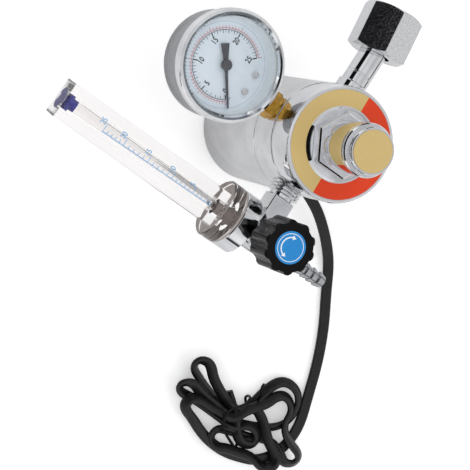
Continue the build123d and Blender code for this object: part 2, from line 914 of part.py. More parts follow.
# Bourdon tube: the flattened tube that bends with pressure
with BuildPart() as bourdon_tube:
    start = Plane(origin=gauge_axis.origin).rotated((0, 0, bourdon_start))
    bourdon_z = case_rear + bourdon_rise
    with BuildSketch(Plane(origin=start.origin, x_dir=start.x_dir, z_dir=-start.y_dir)):
        with Locations((bourdon_radius + bourdon_thickness / 2, bourdon_z)):
            RectangleRounded(bourdon_thickness, bourdon_width, bourdon_round)
    revolve(axis=Axis(gauge_axis.origin, (0, 0, 1)), revolution_arc=bourdon_sweep)
save(bourdon_tube, "bourdon_tube")

# Gauge pointer: a thin blade on its arbor, resting at zero
with BuildPart() as gauge_pointer:
    pointer_z = dial_front + pointer_gap
    blade_plane = Plane(origin=(0, gauge_y, pointer_z)).rotated((0, 0, pointer_zero))
    with BuildSketch(blade_plane):
        with BuildLine():
            Polyline(
                (-pointer_tail_width / 2, -pointer_tail),
                (pointer_tail_width / 2, -pointer_tail),
                (pointer_width, 0),
                (pointer_point, pointer_tip),
                (-pointer_point, pointer_tip),
                (-pointer_width, 0),
                close=True,
            )
        make_face()
    extrude(amount=pointer_thickness)
    rod(gauge_axis, pointer_hub, pointer_z, pointer_z + pointer_hub_height)
    rod(gauge_axis, arbor_radius, pointer_z - arbor_depth, pointer_z)
save(gauge_pointer, "gauge_pointer")

# Outlet stem: threaded into the body, with three rings
ring_points = []
for number in range(ring_count):
    ring_start = collar_flat + number * ring_pitch
    ring_points += [
        (ring_radius - 0.3, ring_start),
        (ring_radius, ring_start + 0.3),
        (ring_radius, ring_start + ring_width - 0.3),
        (ring_radius - 0.3, ring_start + ring_width),
        (outlet_neck, ring_start + ring_width),
        (outlet_neck, ring_start + ring_pitch),
    ]
block_face = -block_right
with BuildPart() as outlet_stem:
    turn(
        outlet,
        (gas_bore, outlet_seat),
        (outlet_thread, outlet_seat),
        (outlet_thread, collar_flat),
        *ring_points[:-1],
        (outlet_neck, block_face),
        (outlet_spigot, block_face),
        (outlet_spigot, block_face + outlet_spigot_length),
        (gas_bore, block_face + outlet_spigot_length),
    )
save(outlet_stem, "outlet_stem")

# Valve body: the square block, the upright barrel and the knob's boss, cast as one
needle_shoulder = needle_tip_z + needle_cone
with BuildPart() as valve_body:
    with BuildSketch(Plane.XY.offset(port_z - block_height / 2)):
        with Locations(((tube_x + block_right) / 2, 0)):
            Rectangle(block_right - tube_x, block_width)
    extrude(amount=block_height)
    chamfer(valve_body.edges().filter_by(Axis.X), block_edge)
    chamfer(valve_body.faces().sort_by(Axis.X)[-1].edges(), 0.4)
    rod(tube_axis, barrel_radius, -barrel_end, base_bottom)
    rod(knob_axis, valve_boss_radius, port_z, valve_boss_front)
    rod(outlet, outlet_spigot + slip, block_face, block_face + outlet_spigot_length, mode=Mode.SUBTRACT)
    rod(outlet, gas_bore, block_face, -tube_x, mode=Mode.SUBTRACT)
    rod(tube_axis, base_spigot + slip, base_bottom - base_spigot_length, base_bottom, mode=Mode.SUBTRACT)
    rod(tube_axis, gas_bore, 0, base_bottom, mode=Mode.SUBTRACT)
    rod(barb_axis, gas_bore, 0, barrel_end, mode=Mode.SUBTRACT)
    turn(
        knob_axis,
        (0, needle_tip_z - loose),
        (needle_tip_radius + bearing, needle_tip_z - loose),
        (needle_radius + bearing, needle_shoulder),
        (needle_radius + bearing, valve_boss_front),
        (0, valve_boss_front),
        mode=Mode.SUBTRACT,
    )
save(valve_body, "valve_body")

# Barb collar: the ring brazed on the barrel's end, which takes the barb's thread
with BuildPart() as barb_collar:
    ring(barb_axis, barb_thread + slip, barrel_radius, barrel_end, barrel_below)
save(barb_collar, "barb_collar")

# Flow base: the turned foot that carries the flow tube
base_top = base_bottom + base_height
with BuildPart() as flow_base:
    turn(
        tube_axis,
        (gas_bore, base_bottom - base_spigot_length),
        (base_spigot, base_bottom - base_spigot_length),
        (base_spigot, base_bottom),
        (base_foot_radius, base_bottom),
        (base_radius, base_bottom + base_bevel),
        (base_radius, base_top - base_lip),
        (base_radius - base_lip, base_top),
        (gas_bore, base_top),
    )
save(flow_base, "flow_base")

# Base seal: the dark ring under the flow tube's foot
seal_top = base_top + seal_thickness
with BuildPart() as base_seal:
    ring(tube_axis, seal_bore, seal_radius, base_top, seal_top)
save(base_seal, "base_seal")

# Flow tube: clear, round at the foot and square above, turned a little, with a bore that widens upwards
foot_top = seal_top + foot_height
recess_bottom = tube_top - plug_recess
with BuildPart() as flow_tube:
    turn(
        tube_axis,
        (0, seal_top),
        (foot_radius - foot_round, seal_top),
        (foot_radius, seal_top + foot_round),
        (foot_radius, foot_top - foot_round),
        (foot_radius - foot_round, foot_top),
        (0, foot_top),
    )
    with BuildSketch(tube_square.offset(foot_top)):
        RectangleRounded(tube_root_width, tube_root_depth, tube_corner)
    with BuildSketch(tube_square.offset(tube_top)):
        RectangleRounded(tube_tip_width, tube_tip_depth, tube_corner)
    loft()
    turn(
        tube_axis,
        (0, seal_top),
        (seat_insert_radius + slip, seal_top),
        (seat_insert_radius + slip, seat_insert_top),
        (tube_bore_root, seat_insert_top),
        (tube_bore_tip, recess_bottom - plug_boss_length),
        (plug_boss + slip, recess_bottom - plug_boss_length),
        (plug_boss + slip, recess_bottom),
        (plug_radius + slip, recess_bottom),
        (plug_radius + slip, tube_top),
        (0, tube_top),
        mode=Mode.SUBTRACT,
    )
save(flow_tube, "flow_tube")

# Ball seat: the dark insert under the ball
with BuildPart() as ball_seat:
    turn(
        tube_axis,
        (seat_insert_orifice, base_top),
        (seat_insert_radius, base_top),
        (seat_insert_radius, seat_insert_top),
        (seat_insert_orifice + 0.6, seat_insert_top),
        (seat_insert_orifice, seat_insert_top - 0.6),
    )
save(ball_seat, "ball_seat")

# Metering ball: steel, resting just above its seat
ball_y = seat_insert_top + 0.3 + ball_radius
with BuildPart() as metering_ball:
    with Locations((tube_x, ball_y, port_z)):
        Sphere(ball_radius)
save(metering_ball, "metering_ball")

# Tube plug: the coloured stopper in the tube's top
with BuildPart() as tube_plug:
    rod(tube_axis, plug_boss, recess_bottom - plug_boss_length, recess_bottom)
    rod(tube_axis, plug_radius, recess_bottom, recess_bottom + plug_flange)
save(tube_plug, "tube_plug")

# Tube cap: the clear disc cemented over the plug
with BuildPart() as tube_cap:
    rod(tube_axis, plug_radius, recess_bottom + plug_flange, tube_top)
save(tube_cap, "tube_cap")

# Valve neck: the dark packing sleeve behind the knob
with BuildPart() as valve_neck:
    ring(knob_axis, needle_radius + bearing, sleeve_radius, valve_boss_front, sleeve_front)
save(valve_neck, "valve_neck")

# Valve needle: its cone closes the bore, and the knob screws it in and out
with BuildPart() as valve_needle:
    turn(
        knob_axis,
        (0, needle_tip_z),
        (needle_tip_radius, needle_tip_z),
        (needle_radius, needle_shoulder),
        (needle_radius, needle_front),
        (0, needle_front),
    )
save(valve_needle, "valve_needle")

# Flow knob: moulded with ten lobes, hollow behind and recessed in front for its disc
label_seat = knob_front - knob_label_thickness
with BuildPart() as flow_knob:
    with BuildSketch(knob_axis.offset(knob_rear)) as lobes:
        Circle(knob_valley)
        with PolarLocations(knob_lobe_circle, knob_lobes, start_angle=knob_turn):
            Circle(knob_lobe)
        fillet(lobes.vertices(), lobe_round)
    extrude(amount=knob_front - knob_rear)
    reach = knob_lobe_circle + knob_lobe + 1
    turn(
        knob_axis,
        (knob_rear_radius, knob_rear),
        (reach, knob_rear),
        (reach, knob_rear + knob_taper),
        mode=Mode.SUBTRACT,
    )
    turn(
        knob_axis,
        (knob_front_radius, knob_front),
        (reach, knob_front),
        (reach, knob_front - knob_front_cut),
        mode=Mode.SUBTRACT,
    )
    rod(knob_axis, knob_skirt, knob_rear, knob_rear + knob_skirt_depth, mode=Mode.SUBTRACT)
    rod(knob_axis, needle_radius + bearing, knob_rear, needle_front + knob_web, mode=Mode.SUBTRACT)
    rod(knob_axis, knob_label_radius + slip, label_seat, knob_front, mode=Mode.SUBTRACT)
save(flow_knob, "flow_knob")

# Knob label: the blue disc in the knob's face
with BuildPart() as knob_label:
    rod(knob_axis, knob_label_radius, label_seat, knob_front)
save(knob_label, "knob_label")

# Hose barb: a hexagon root and sharp ridges that hold the hose
hex_stop = barrel_below + barb_hex_length
ridge_points = []
for number in range(barb_ridges):
    ridge_start = barb_end - (barb_ridges - number) * barb_pitch
    ridge_points += [(barb_shaft, ridge_start), (barb_ridge, ridge_start + barb_step)]
with BuildPart() as hose_barb:
    rod(barb_axis, barb_thread, barrel_below - barb_thread_length, barrel_below)
    hexagon(barb_axis, barb_hex, barrel_below, hex_stop, rotation=30.0, cut=0.8)
    turn(
        barb_axis,
        (0, hex_stop),
        (barb_shaft, hex_stop),
        *ridge_points,
        (barb_shaft, barb_end),
        (0, barb_end),
    )
    rod(barb_axis, barb_bore, barrel_below - barb_thread_length, barb_end, mode=Mode.SUBTRACT)
save(hose_barb, "hose_barb")

# Cord gland: the moulded strain relief in the housing's side
with BuildPart() as cord_gland:
    turn(
        gland_port,
        (0, gland_seat - gland_shank_length),
        (gland_shank, gland_seat - gland_shank_length),
        (gland_shank, gland_seat),
        (gland_flange, gland_seat),
        (gland_flange, gland_seat + gland_flange_thickness),
        (gland_sleeve_root, gland_seat + gland_flange_thickness),
        (gland_sleeve_tip, gland_reach),
        (0, gland_reach),
    )
save(cord_gland, "cord_gland")

# Cord lead: out of the gland, down to the table and along it to the hank
gland_tip = gland_port.origin + gland_port.z_dir * gland_reach
lead_bend = gland_tip + gland_port.z_dir * lead_straight
lead_route = [
    (gland_tip.X, gland_tip.Y, gland_tip.Z),
    (lead_bend.X, lead_bend.Y, lead_bend.Z),
    (-24.7, -68.3, 10.6),
    (-32.3, -80.6, 5.6),
    (-41.0, -90.5, cord_floor),
    (-55.5, -98.8, cord_floor),
    (-74.0, -110.5, cord_floor),
    (-94.0, -119.8, cord_floor),
    (-114.75, -125.0, cord_floor),
]


def route_radii(route):
    """The arc at each corner: 0.45 of the shorter run over the tangent of half the turn."""
    radii = []
    for before, corner, after in zip(route, route[1:], route[2:]):
        run_in = Vector(*corner) - Vector(*before)
        run_out = Vector(*after) - Vector(*corner)
        half_turn = math.radians(run_in.get_angle(run_out)) / 2
        radii.append(0.45 * min(run_in.length, run_out.length) / math.tan(half_turn))
    return radii


lead_radii = route_radii(lead_route)
with BuildPart() as cord_lead:
    with BuildLine() as lead_path:
        FilletPolyline(*lead_route, radius=lead_radii)
    with BuildSketch(Plane(origin=lead_path.line @ 0, z_dir=lead_path.line % 0)):
        Circle(cord_floor)
    sweep()
save(cord_lead, "cord_lead")
lead_length = lead_path.wires()[0].length
lead_section = math.pi * cord_floor**2
print("lead radii", [round(r, 1) for r in lead_radii])
print("lead length", round(lead_length, 1))
print("lead volume", round(cord_lead.part.volume, 1), "section x length", round(lead_section * lead_length, 1))

# Cord hank: the outer shape of the tied loops, narrowed under the tie
hank_outline = [
    (-130.0, -47.0),
    (-146.0, -44.0),
    (-163.0, -53.0),
    (-172.0, -72.0),
    (-163.0, -88.0),
    (-172.0, -104.0),
    (-172.0, -128.0),
    (-160.0, -143.0),
    (-134.0, -143.0),
    (-112.5, -134.0),
    (-117.0, -116.0),
    (-121.0, -95.0),
    (-139.0, -92.0),
    (-128.0, -76.0),
]
waist_left = -163.0
waist_right = -137.0
with BuildPart() as cord_hank:
    with BuildSketch():
        with BuildLine():
            FilletPolyline(*hank_outline, radius=5, close=True)
        make_face()
    extrude(amount=hank_height)
    with BuildSketch():
        with Locations(((waist_left + waist_right) / 2, tie_y)):
            Rectangle(waist_span, tie_width)
    extrude(amount=hank_height, mode=Mode.SUBTRACT)
    with BuildSketch(Plane.XY.offset(hank_underside)):
        with Locations(((waist_left + waist_right) / 2, tie_y)):
            Rectangle(waist_right - waist_left, tie_width)
    extrude(amount=hank_waist_height)
save(cord_hank, "cord_hank")

# Cord tie: the band round the hank's waist
with BuildPart() as cord_tie:
    tie_middle = (waist_left + waist_right) / 2
    tie_inner = waist_right - waist_left
    with BuildSketch(Plane(origin=(tie_middle, tie_y + tie_width / 2, 0), x_dir=(1, 0, 0), z_dir=(0, -1, 0))):
        with Locations((0, hank_underside + hank_waist_height / 2)):
            RectangleRounded(tie_inner + 2 * tie_wall, hank_waist_height + 2 * hank_underside, 1.1)
            Rectangle(tie_inner, hank_waist_height, mode=Mode.SUBTRACT)
    extrude(amount=tie_width)
save(cord_tie, "cord_tie")
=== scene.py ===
import bpy, bmesh, math
from mathutils import Matrix, Vector


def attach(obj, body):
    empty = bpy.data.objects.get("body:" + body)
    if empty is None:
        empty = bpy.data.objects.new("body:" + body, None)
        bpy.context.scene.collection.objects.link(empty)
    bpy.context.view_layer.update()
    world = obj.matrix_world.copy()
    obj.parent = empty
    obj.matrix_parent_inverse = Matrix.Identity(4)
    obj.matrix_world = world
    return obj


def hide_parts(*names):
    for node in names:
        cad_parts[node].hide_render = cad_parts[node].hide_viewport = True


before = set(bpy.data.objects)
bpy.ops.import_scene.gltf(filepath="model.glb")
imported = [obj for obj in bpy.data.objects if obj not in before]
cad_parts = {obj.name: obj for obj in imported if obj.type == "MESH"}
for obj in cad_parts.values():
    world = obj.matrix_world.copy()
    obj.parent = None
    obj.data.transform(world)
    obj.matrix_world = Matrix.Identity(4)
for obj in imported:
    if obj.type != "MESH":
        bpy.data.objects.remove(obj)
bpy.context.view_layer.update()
mm = 0.001  # settings are in mm unless they say otherwise, and Blender works in metres


def linear(hexColour):
    channels = [int(hexColour[i:i + 2], 16) / 255 for i in (1, 3, 5)]
    return tuple(c / 12.92 if c <= 0.04045 else ((c + 0.055) / 1.055) ** 2.4 for c in channels) + (1.0,)


def addNode(tree, kind, inputs=None, **settings):
    node = tree.nodes.new(kind)
    for name, value in settings.items():
        setattr(node, name, value)
    for name, value in (inputs or {}).items():
        if isinstance(value, bpy.types.NodeSocket):
            tree.links.new(value, node.inputs[name])
        else:
            node.inputs[name].default_value = value
    return node


def addRamp(tree, factor, stops):
    ramp = addNode(tree, "ShaderNodeValToRGB", {"Fac": factor})
    elements = ramp.color_ramp.elements
    while len(elements) < len(stops):
        elements.new(0.5)
    for element, (place, colour) in zip(elements, stops):
        element.position = place
        element.color = linear(colour)
    return ramp.outputs["Color"]


def startMaterial(name):
    material = bpy.data.materials.new(name)
    material.use_nodes = True
    tree = material.node_tree
    tree.nodes.clear()
    shader = addNode(tree, "ShaderNodeBsdfPrincipled")
    addNode(tree, "ShaderNodeOutputMaterial", {"Surface": shader.outputs["BSDF"]})
    place = addNode(tree, "ShaderNodeTexCoord").outputs["Object"]
    return material, tree, shader, place


# One fine noise drives the roughness, the colour and the small bumps of every finish
grainNoise = {
    "detail": 6.0, "roughness": 0.6, "low": 0.3, "high": 0.7, "dark": 0.35, "light": 0.65, "depth": 0.1,
    "edgeSamples": 6,
}


def addLip(tree, place, lip):
    out = addNode(
        tree, "ShaderNodeVectorMath", {0: place, 1: Vector(lip["centre"]) * mm}, operation="SUBTRACT"
    ).outputs["Vector"]
    out = addNode(
        tree, "ShaderNodeVectorMath", {0: out, 1: (1.0, 1.0, 0.0)}, operation="MULTIPLY"
    ).outputs["Vector"]
    out = addNode(tree, "ShaderNodeVectorMath", {0: out}, operation="LENGTH").outputs["Value"]
    rise = addNode(
        tree, "ShaderNodeMapRange",
        {"Value": out, "From Min": lip["from"] * mm, "From Max": lip["to"] * mm, "To Max": lip["rise"] * mm},
    ).outputs["Result"]
    slope = addNode(tree, "ShaderNodeBump", {"Height": rise, "Strength": 1.0, "Distance": 1.0})
    return slope.outputs["Normal"]


def addSurface(tree, shader, place, look):
    grain = addNode(
        tree, "ShaderNodeMapping", {"Vector": place, "Scale": look.get("stretch", (1, 1, 1))}
    ).outputs["Vector"]
    noise = addNode(tree, "ShaderNodeTexNoise", {
        "Vector": grain, "Scale": 1 / (look["grain"] * mm),
        "Detail": grainNoise["detail"], "Roughness": grainNoise["roughness"],
    }).outputs["Fac"]
    low, high = look["roughness"]
    spread = addNode(tree, "ShaderNodeMapRange", {
        "Value": noise, "From Min": grainNoise["low"], "From Max": grainNoise["high"],
        "To Min": low, "To Max": high,
    }).outputs["Result"]
    tree.links.new(spread, shader.inputs["Roughness"])
    bump = addNode(tree, "ShaderNodeBump", {
        "Height": noise, "Strength": look["bump"], "Distance": grainNoise["depth"] * mm,
    })
    if "round" in look:
        soft = addNode(
            tree, "ShaderNodeBevel", {"Radius": look["round"] * mm}, samples=grainNoise["edgeSamples"]
        )
        tree.links.new(soft.outputs["Normal"], bump.inputs["Normal"])
    if "lip" in look:
        tree.links.new(addLip(tree, place, look["lip"]), bump.inputs["Normal"])
    tree.links.new(bump.outputs["Normal"], shader.inputs["Normal"])
    return noise


def makeMaterial(name, look):
    material, tree, shader, place = startMaterial(name)
    noise = addSurface(tree, shader, place, look)
    darker, lighter = look["colours"]
    colour = addRamp(tree, noise, [(grainNoise["dark"], darker), (grainNoise["light"], lighter)])
    tree.links.new(colour, shader.inputs["Base Color"])
    for socket, value in look.get("sockets", {}).items():
        shader.inputs[socket].default_value = value
    return material


# Each finish: the colours and roughness it varies between, and "grain", the size of its mottle in mm.
# "round" softens an edge by that many mm, and "stretch" draws the mottle out across the piece's axis.
looks = {
    # Chromium plate on turned brass, polished: a bright mirror with slow, barely seen waves
    "polishedChrome": {
        "colours": ("#DADBDD", "#EEEFF1"), "roughness": (0.04, 0.08), "grain": 16.0, "bump": 0.02,
        "round": 0.45, "sockets": {"Metallic": 1.0},
    },
    # The same plate on a rolled ring, whose inner slope shows the dark card as a crescent
    "rolledChrome": {
        "colours": ("#DADBDD", "#EEEFF1"), "roughness": (0.03, 0.06), "grain": 16.0, "bump": 0.02,
        "lip": {"centre": (0.0, 73.5, 0.0), "from": 25.4, "to": 28.3, "rise": 2.9},
        "sockets": {"Metallic": 1.0},
    },
    # Chromium plate over a forged nut: a mirror broken up by pits, coarse enough to show
    "pittedChrome": {
        "colours": ("#D0D1D4", "#ECEDEF"), "roughness": (0.05, 0.12), "grain": 0.9, "bump": 0.22,
        "round": 0.45, "sockets": {"Metallic": 1.0},
    },
    # Plated cover left as turned: a duller mirror with faint bands
    "turnedChrome": {
        "colours": ("#D2D3D6", "#ECEDEF"), "roughness": (0.09, 0.17), "grain": 4.5, "bump": 0.05,
        "stretch": (1, 1, 8), "sockets": {"Metallic": 1.0},
    },
    # Deep drawn steel cup, ground: plain grey, with faint bands round it
    "drawnSteel": {
        "colours": ("#8E9094", "#A2A4A8"), "roughness": (0.22, 0.34), "grain": 5.0, "bump": 0.05,
        "stretch": (1, 1, 8), "sockets": {"Metallic": 1.0},
    },
    # Hardened steel, burnished: a grey satin mirror
    "burnishedSteel": {
        "colours": ("#B9BBBE", "#D5D7DA"), "roughness": (0.16, 0.28), "grain": 3.3, "bump": 0.06,
        "sockets": {"Metallic": 1.0},
    },
    # Brass bar, machined and bare: warm yellow with sharp highlights
    "machinedBrass": {
        "colours": ("#B0822F", "#CFA24A"), "roughness": (0.1, 0.18), "grain": 3.8, "bump": 0.03,
        "sockets": {"Metallic": 1.0},
    },
    # Phosphor bronze, rolled or sintered: browner and duller than the brass
    "phosphorBronze": {
        "colours": ("#8C5A30", "#B27A48"), "roughness": (0.22, 0.34), "grain": 4.2, "bump": 0.08,
        "sockets": {"Metallic": 1.0},
    },
    # Cast aluminium: a matt light grey
    "castAluminium": {
        "colours": ("#A9ABAE", "#C6C8CA"), "roughness": (0.3, 0.42), "grain": 5.0, "bump": 0.1,
        "sockets": {"Metallic": 1.0},
    },
    # Gold foil print on the cap: a flat tan gold that hardly mirrors
    "brushedGoldFoil": {
        "colours": ("#DDC180", "#E0C586"), "roughness": (0.4, 0.5), "grain": 2.0, "bump": 0.01,
        "sockets": {"Metallic": 0.4},
    },
    # Moulded nitrile rubber: black and matt, with a soft sheen
    "blackNitrileRubber": {
        "colours": ("#0B0B0C", "#1B1B1D"), "roughness": (0.45, 0.62), "grain": 2.4, "bump": 0.12,
    },
    # Plastic coated tie wire: a plain deep black
    "blackTieWire": {
        "colours": ("#050506", "#0A0A0B"), "roughness": (0.3, 0.4), "grain": 2.4, "bump": 0.03,
        "sockets": {"Specular IOR Level": 0.25},
    },
    # Moulded silicone ring: a warm grey under the clear tube, painted lighter than the silicone to lift the
    # shade the tube casts on it
    "shadeLiftedSilicone": {
        "colours": ("#B4AAA6", "#C2BAB6"), "roughness": (0.4, 0.55), "grain": 2.4, "bump": 0.05,
    },
    # Moulded silicone insert, smoked: darker, so that the ball stands out on it
    "smokedSilicone": {
        "colours": ("#8C827E", "#9C9490"), "roughness": (0.4, 0.55), "grain": 2.4, "bump": 0.05,
    },
    # Injection moulded ABS, glossy from its mould: black with narrow highlights
    "mouldedBlackPlastic": {
        "colours": ("#060506", "#0B090A"), "roughness": (0.16, 0.24), "grain": 3.1, "bump": 0.005,
        "sockets": {"Specular IOR Level": 0.18},
    },
    # Extruded soft vinyl: nearly black, with a broad weak sheen and a thin glaze
    "vinylFlex": {
        "colours": ("#0A0A0B", "#151516"), "roughness": (0.32, 0.42), "grain": 3.8, "bump": 0.06,
        "sockets": {"Specular IOR Level": 0.42, "Coat Weight": 0.1, "Coat Roughness": 0.2},
    },
    # Bright zinc plate: greyer and less sharp than the chrome beside it
    "zincPlate": {
        "colours": ("#A9ABAE", "#C2C4C7"), "roughness": (0.16, 0.26), "grain": 4.2, "bump": 0.04,
        "sockets": {"Metallic": 1.0},
    },
    # Dyed and moulded polyethylene: deep indigo, faintly waxy
    "indigoPlastic": {
        "colours": ("#2B2A86", "#3B3CA6"), "roughness": (0.2, 0.32), "grain": 3.3, "bump": 0.05,
    },
    # Turned white nylon: off-white and matt
    "whiteNylon": {
        "colours": ("#D9D7CF", "#ECEAE4"), "roughness": (0.4, 0.55), "grain": 3.6, "bump": 0.08,
    },
    # Black screen print: crisp and nearly matt
    "blackEnamel": {
        "colours": ("#08080A", "#101013"), "roughness": (0.24, 0.36), "grain": 2.5, "bump": 0.03,
    },
    # Stoved dark grey enamel: softer than the black print, so the pointer stands clear of it
    "pointerEnamel": {
        "colours": ("#3C3C42", "#4C4C52"), "roughness": (0.3, 0.42), "grain": 2.5, "bump": 0.03,
    },
    # Nickel plated screw heads: bright, with a fine satin
    "nickelScrew": {
        "colours": ("#C9CACC", "#E2E3E5"), "roughness": (0.2, 0.32), "grain": 2.5, "bump": 0.05,
        "sockets": {"Metallic": 1.0},
    },
    # Red screen print of the outer scale: thin and matt
    "redEnamelInk": {
        "colours": ("#B3261E", "#CF3A2C"), "roughness": (0.4, 0.5), "grain": 2.0, "bump": 0.02,
    },
    # Pale blue screen print on the tube: thin and matt
    "blueScaleInk": {
        "colours": ("#68A6D8", "#86BAE4"), "roughness": (0.4, 0.5), "grain": 2.0, "bump": 0.02,
    },
    # Grey line round the dial: painted shade that stands for the groove at the dial's edge
    "greyGrooveShade": {
        "colours": ("#9FAEBB", "#B2BFCA"), "roughness": (0.4, 0.5), "grain": 2.0, "bump": 0.02,
    },
    # White print on the knob's disc
    "whiteInk": {
        "colours": ("#E9EEF2", "#FFFFFF"), "roughness": (0.4, 0.5), "grain": 2.0, "bump": 0.02,
    },
    # Baked pale blue enamel: a soft, even ground for the print
    "paleDialEnamel": {
        "colours": ("#DAE3EC", "#E2E8F0"), "roughness": (0.32, 0.42), "grain": 2.9, "bump": 0.02,
    },
    # White lacquer on the ring under the window: paler than the dial
    "whiteDialRing": {
        "colours": ("#E6EEF2", "#EFF4F7"), "roughness": (0.35, 0.45), "grain": 2.9, "bump": 0.02,
    },
    # Blue print under a clear film: strong colour with a faint gloss
    "blueFoil": {
        "colours": ("#2486CC", "#2C90D8"), "roughness": (0.26, 0.38), "grain": 1.1, "bump": 0.02,
        "sockets": {"Specular IOR Level": 0.3},
    },
}
materials = {name: makeMaterial(name, look) for name, look in looks.items()}


# The tube is cast acrylic and the window float glass: clear, with bright edges and a trace of ripple.
# Both bend light less than the real ones, so that what stands behind keeps its place in the picture.
clears = {
    "clearAcrylic": {"tint": "#F5F3F2", "roughness": 0.02, "ior": 1.34},
    "windowGlass": {"tint": "#FDFEFE", "roughness": 0.01, "ior": 1.3},
}
ripple = {"scale": 90.0, "detail": 3.0, "strength": 0.03, "depth": 0.1}


def makeClear(name, look):
    material, tree, shader, place = startMaterial(name)
    noise = addNode(
        tree, "ShaderNodeTexNoise", {"Vector": place, "Scale": ripple["scale"], "Detail": ripple["detail"]}
    ).outputs["Fac"]
    bump = addNode(tree, "ShaderNodeBump", {
        "Height": noise, "Strength": ripple["strength"], "Distance": ripple["depth"] * mm,
    })
    tree.links.new(bump.outputs["Normal"], shader.inputs["Normal"])
    shader.inputs["Base Color"].default_value = linear(look["tint"])
    shader.inputs["Roughness"].default_value = look["roughness"]
    shader.inputs["Transmission Weight"].default_value = 1.0
    shader.inputs["IOR"].default_value = look["ior"]
    # Shadow and diffuse rays pass straight through, so what lies behind isn't left in the dark
    rays = addNode(tree, "ShaderNodeLightPath").outputs
    passed = addNode(
        tree, "ShaderNodeMath", {0: rays["Is Shadow Ray"], 1: rays["Is Diffuse Ray"]}, operation="MAXIMUM"
    ).outputs["Value"]
    straight = addNode(tree, "ShaderNodeBsdfTransparent", {"Color": linear(look["tint"])}).outputs["BSDF"]
    both = addNode(tree, "ShaderNodeMixShader", {"Fac": passed, 1: shader.outputs["BSDF"], 2: straight})
    output = next(node for node in tree.nodes if node.type == "OUTPUT_MATERIAL")
    tree.links.new(both.outputs["Shader"], output.inputs["Surface"])
    return material


# Offset print on a self-adhesive ring: two flat colours that meet on a straight line
label = {
    "roughness": (0.3, 0.42), "grain": 2.4, "bump": 0.03, "specular": 0.25,
    "upper": "#D8BC7C", "lower": "#E44420", "splitSlope": -0.035,
}


def makeLabelPrint(settings):
    material, tree, shader, place = startMaterial("labelPrint")
    addSurface(tree, shader, place, settings)
    parts = addNode(tree, "ShaderNodeSeparateXYZ", {"Vector": place}).outputs
    side = addNode(
        tree, "ShaderNodeMath", {0: parts["X"], 1: settings["splitSlope"], 2: parts["Y"]},
        operation="MULTIPLY_ADD",
    ).outputs["Value"]
    upper = addNode(tree, "ShaderNodeMath", {0: side, 1: 0.0}, operation="GREATER_THAN").outputs["Value"]
    field = addNode(
        tree, "ShaderNodeMix",
        {"Factor": upper, 6: linear(settings["lower"]), 7: linear(settings["upper"])}, data_type="RGBA",
    ).outputs[2]
    tree.links.new(field, shader.inputs["Base Color"])
    shader.inputs["Specular IOR Level"].default_value = settings["specular"]
    return material


for name, look in clears.items():
    materials[name] = makeClear(name, look)
materials["labelPrint"] = makeLabelPrint(label)
print("materials", len(materials))

nodeMaterials = {
    "polishedChrome": [
        "heater_housing", "regulator_body", "bonnet", "bonnet_nut", "preset_cap", "inlet_stem",
        "outlet_stem", "valve_body", "barb_collar", "flow_base",
    ],
    "zincPlate": ["hose_barb"],
    "pittedChrome": ["inlet_nut"],
    "turnedChrome": ["rear_cover"],
    "drawnSteel": ["gauge_case"],
    "burnishedSteel": [
        "cover_screws", "heating_rods", "poppet_spring", "preset_spring", "spring_button",
        "adjusting_screw", "metering_ball", "valve_needle",
    ],
    "machinedBrass": ["chamber_plug", "poppet", "diaphragm_plate", "gauge_fitting", "gauge_movement"],
    "phosphorBronze": ["inlet_filter", "bourdon_tube"],
    "castAluminium": ["heater_block"],
    "brushedGoldFoil": ["cap_disc"],
    "blackNitrileRubber": ["cord_gland", "diaphragm"],
    "rolledChrome": ["gauge_bezel"],
    "shadeLiftedSilicone": ["base_seal"],
    "smokedSilicone": ["ball_seat"],
    "mouldedBlackPlastic": ["thermostat", "valve_neck", "flow_knob"],
    "indigoPlastic": ["tube_plug"],
    "whiteNylon": ["valve_seat", "inlet_washer"],
    "nickelScrew": ["dial_screws"],
    "pointerEnamel": ["gauge_pointer"],
    "paleDialEnamel": ["gauge_dial"],
    "whiteDialRing": ["dial_ring"],
    "blueFoil": ["knob_label"],
    "labelPrint": ["front_label"],
    "clearAcrylic": ["flow_tube", "tube_cap"],
    "windowGlass": ["gauge_window"],
}
for name, nodes in nodeMaterials.items():
    for node in nodes:
        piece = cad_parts[node]
        piece.data.materials.clear()
        piece.data.materials.append(materials[name])
print("nodes dressed", sum(len(nodes) for nodes in nodeMaterials.values()))

# Loose triangles are welded, and only corners sharper than the angle keep a hard edge
edges = {"weld": 0.002 * mm, "angle": math.radians(32)}
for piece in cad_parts.values():
    weld = piece.modifiers.new("weld", "WELD")
    weld.merge_threshold = edges["weld"]
    split = piece.modifiers.new("sharpEdges", "EDGE_SPLIT")
    split.split_angle = edges["angle"]
    for face in piece.data.polygons:
        face.use_smooth = True


def makePiece(name, mesh, material, body):
    piece = bpy.data.objects.new(name, mesh)
    bpy.context.scene.collection.objects.link(piece)
    piece.data.materials.clear()
    piece.data.materials.append(materials[material])
    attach(piece, body)
    return piece


# Fitted to the photograph. Its place is in metres and its focal length in pixels of the picture.
camera = {
    "place": (-0.16772, 0.39973, 0.97036),
    "right": (0.536856, -0.748080, 0.390079),
    "up": (0.837476, 0.528470, -0.139115),
    "back": (-0.102076, 0.401367, 0.910212),
    "focalPixels": 1796.6, "pictureWidth": 470, "sensor": 36.0, "nearest": 0.01,
}


def addCamera(settings):
    data = bpy.data.cameras.new("camera")
    data.sensor_width = settings["sensor"]
    data.lens = settings["focalPixels"] / settings["pictureWidth"] * settings["sensor"]
    data.clip_start = settings["nearest"]
    body = bpy.data.objects.new("camera", data)
    turn = Matrix([settings["right"], settings["up"], settings["back"]]).transposed()
    body.matrix_world = Matrix.Translation(settings["place"]) @ turn.to_4x4()
    bpy.context.scene.collection.objects.link(body)
    bpy.context.scene.camera = body


addCamera(camera)

